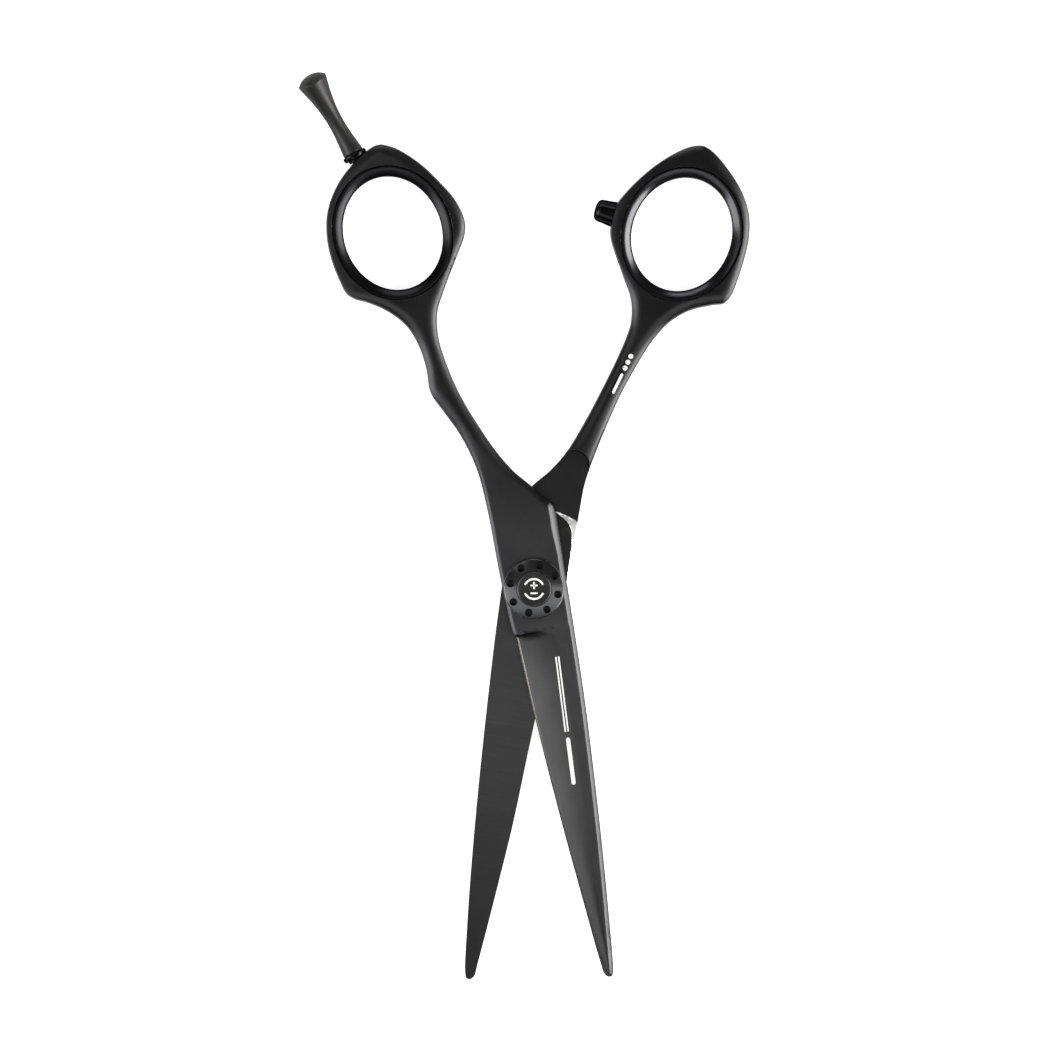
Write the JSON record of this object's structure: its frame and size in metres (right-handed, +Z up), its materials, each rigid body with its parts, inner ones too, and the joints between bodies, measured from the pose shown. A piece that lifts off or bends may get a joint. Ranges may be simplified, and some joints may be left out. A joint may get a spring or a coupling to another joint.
{
  "type": "hair cutting shears",
  "caption": "Slim black-coated hair cutting shears, half open, with an offset grip, a click tension dial, lined finger rings, a rubber stop and a screw-on finger rest.",
  "frame": {"origin": "the pivot's axis where it meets the plane the shears lie on, at the middle of the screw head's outer face", "axes": "+Y from the blade tips to the finger rings, along the middle line between the two halves; +Z up, towards the dial; +X towards the thumb ring"},
  "size_m": [0.0794, 0.1608, 0.0074],
  "materials": {
    "coated_steel": "satin",
    "dial_steel": "satin",
    "polished_steel": "polished",
    "bearing_brass": "machined",
    "black_rubber": "gloss",
    "washer_plastic": "matte"
  },
  "bodies": {
    "finger_half": {"finger_half": "coated_steel", "finger_ring_insert": "black_rubber", "pivot_bush": "bearing_brass"},
    "rest_washer": {"finger_rest_washer": "black_rubber"},
    "finger_rest": {"finger_rest": "coated_steel", "finger_rest_stud": "polished_steel"},
    "thumb_half": {"thumb_half": "coated_steel", "thumb_ring_insert": "black_rubber", "bumper": "black_rubber", "pivot_screw": "polished_steel", "ride_washer": "washer_plastic", "thrust_washer": "bearing_brass", "click_plate": "polished_steel", "wave_washer": "polished_steel"},
    "tension_dial": {"tension_dial": "dial_steel", "dial_cap": "coated_steel"}
  },
  "joints": [
    {"name": "blade_pivot", "type": "hinge", "parent": "finger_half", "child": "thumb_half", "pos_m": [0, 0, 0.0027], "axis": [0, 0, -1], "range_deg": [-19.6, 119.8]},
    {"name": "tension_turn", "type": "hinge", "parent": "thumb_half", "child": "tension_dial", "pos_m": [0, 0, 0.0062], "axis": [0, 0, 1], "range_deg": [-180, 180]},
    {"name": "rest_backoff", "type": "slide", "parent": "finger_half", "child": "rest_washer", "axis": [-0.4865, 0.8737, 0], "range_m": [0, 0.0018]},
    {"name": "rest_unscrew", "type": "hinge", "parent": "rest_washer", "child": "finger_rest", "pos_m": [-0.03071, 0.07701, 0.0027], "axis": [-0.4865, 0.8737, 0], "range_deg": [0, 1440]}
  ],
  "couplings": [
    {"joint": "rest_unscrew", "follows": "rest_backoff", "rad_per_m": 13962}
  ]
}
